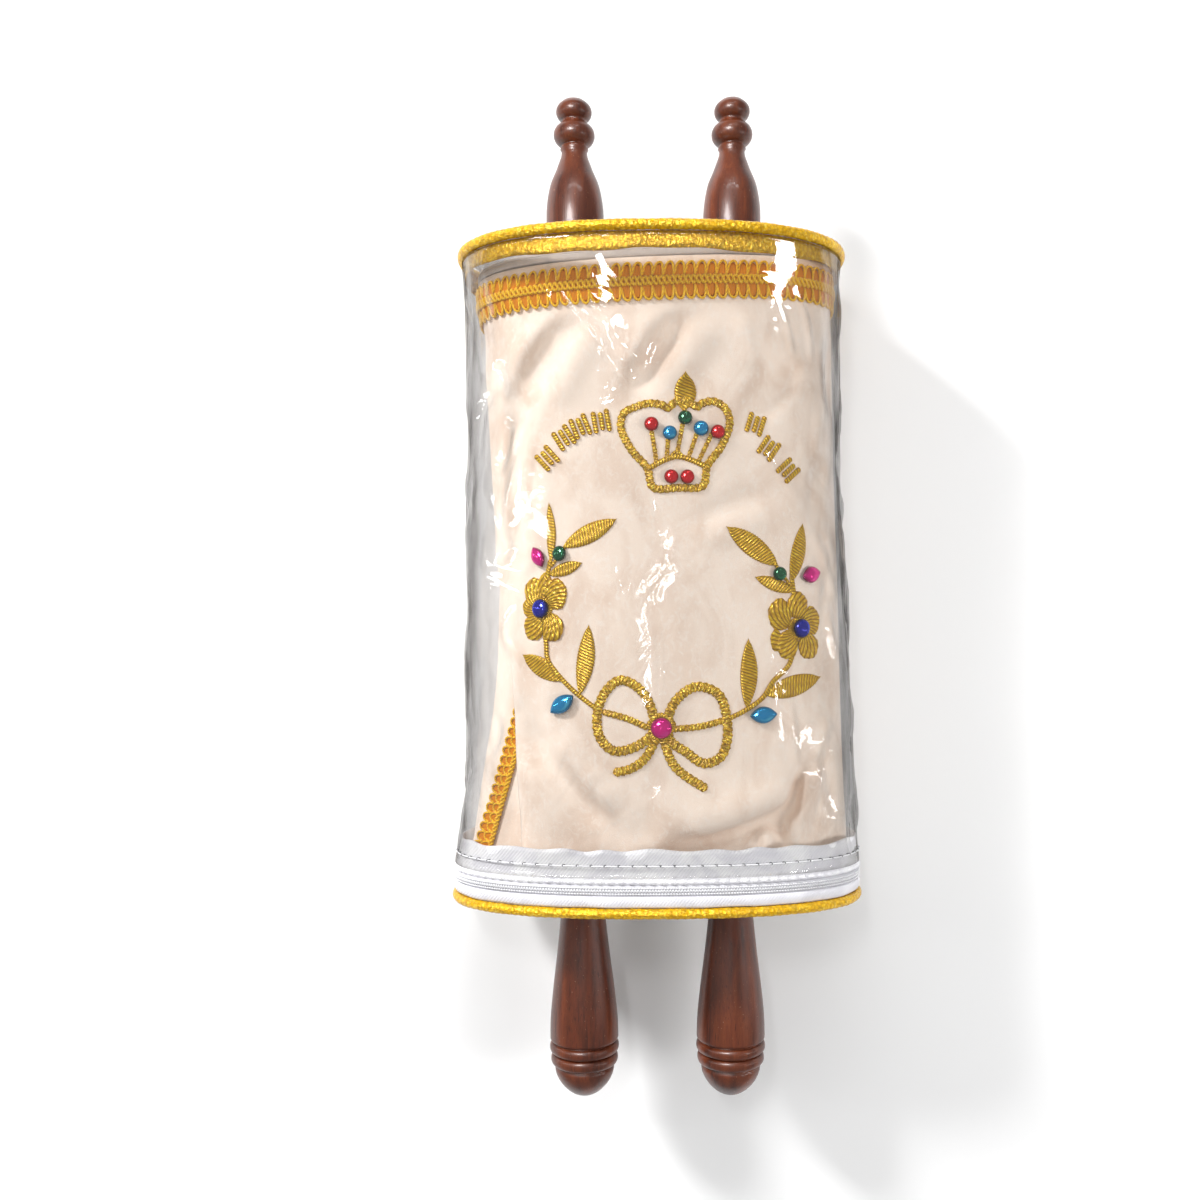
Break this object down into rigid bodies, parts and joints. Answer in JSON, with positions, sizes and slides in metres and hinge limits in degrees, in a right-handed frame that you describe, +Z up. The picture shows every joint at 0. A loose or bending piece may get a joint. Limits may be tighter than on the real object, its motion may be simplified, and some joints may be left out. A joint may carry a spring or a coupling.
{
  "type": "dressed torah scroll in a clear cover",
  "caption": "Small torah scroll on turned wooden rollers, dressed in an embroidered ivory velvet mantle with gold braid and stones, inside a clear zipped vinyl cover, lying on its back.",
  "frame": {"origin": "on the surface that the scroll lies on, under the middle of its length and width", "axes": "+Z up, out of the embroidered front; +Y along the rollers towards the finials; +X to the right of the front"},
  "size_m": [0.1812, 0.446, 0.0901],
  "materials": {
    "wood": "satin lacquer over a dark red-brown stain",
    "paper": "matt",
    "velvet": "short-pile ivory velvet",
    "satin": "off-white satin over board",
    "braid": "orange-gold gimp braid",
    "thread": "gold satin stitch",
    "lame": "crinkled gold lame",
    "tape": "white woven tape",
    "vinyl": "clear flexible vinyl",
    "zip_metal": "polished",
    "stone_red": "polished acrylic",
    "stone_sky": "polished acrylic",
    "stone_green": "polished acrylic",
    "stone_blue": "polished acrylic",
    "stone_pink": "polished acrylic"
  },
  "bodies": {
    "root": {"roller_left": "wood", "roller_right": "wood", "parchment_scroll": "paper", "mantle": "velvet", "mantle_top_board": "satin", "mantle_braid_top": "braid", "mantle_braid_side": "braid", "crown_embroidery": "thread", "branch_embroidery_left": "thread", "branch_embroidery_right": "thread", "bow_embroidery": "thread", "stone_crown_red_left": "stone_red", "stone_crown_blue_left": "stone_sky", "stone_crown_green": "stone_green", "stone_crown_blue_right": "stone_sky", "stone_crown_red_right": "stone_red", "stone_crown_base_left": "stone_red", "stone_crown_base_right": "stone_red", "stone_bud_pink_left": "stone_pink", "stone_bud_green_left": "stone_green", "stone_flower_left": "stone_blue", "stone_drop_blue_left": "stone_sky", "stone_bow": "stone_pink", "stone_drop_blue_right": "stone_sky", "stone_flower_right": "stone_blue", "stone_bud_green_right": "stone_green", "stone_bud_pink_right": "stone_pink", "cover_wall": "vinyl", "cover_piping_top": "lame", "cover_piping_bottom": "lame", "cover_panel_top": "vinyl", "cover_panel_bottom": "vinyl", "cover_seam_tape": "lame", "cover_hem_band": "tape", "zip_chain": "tape", "cover_base_band": "tape", "zip_slider": "zip_metal", "zip_pull": "zip_metal"}
  },
  "joints": []
}
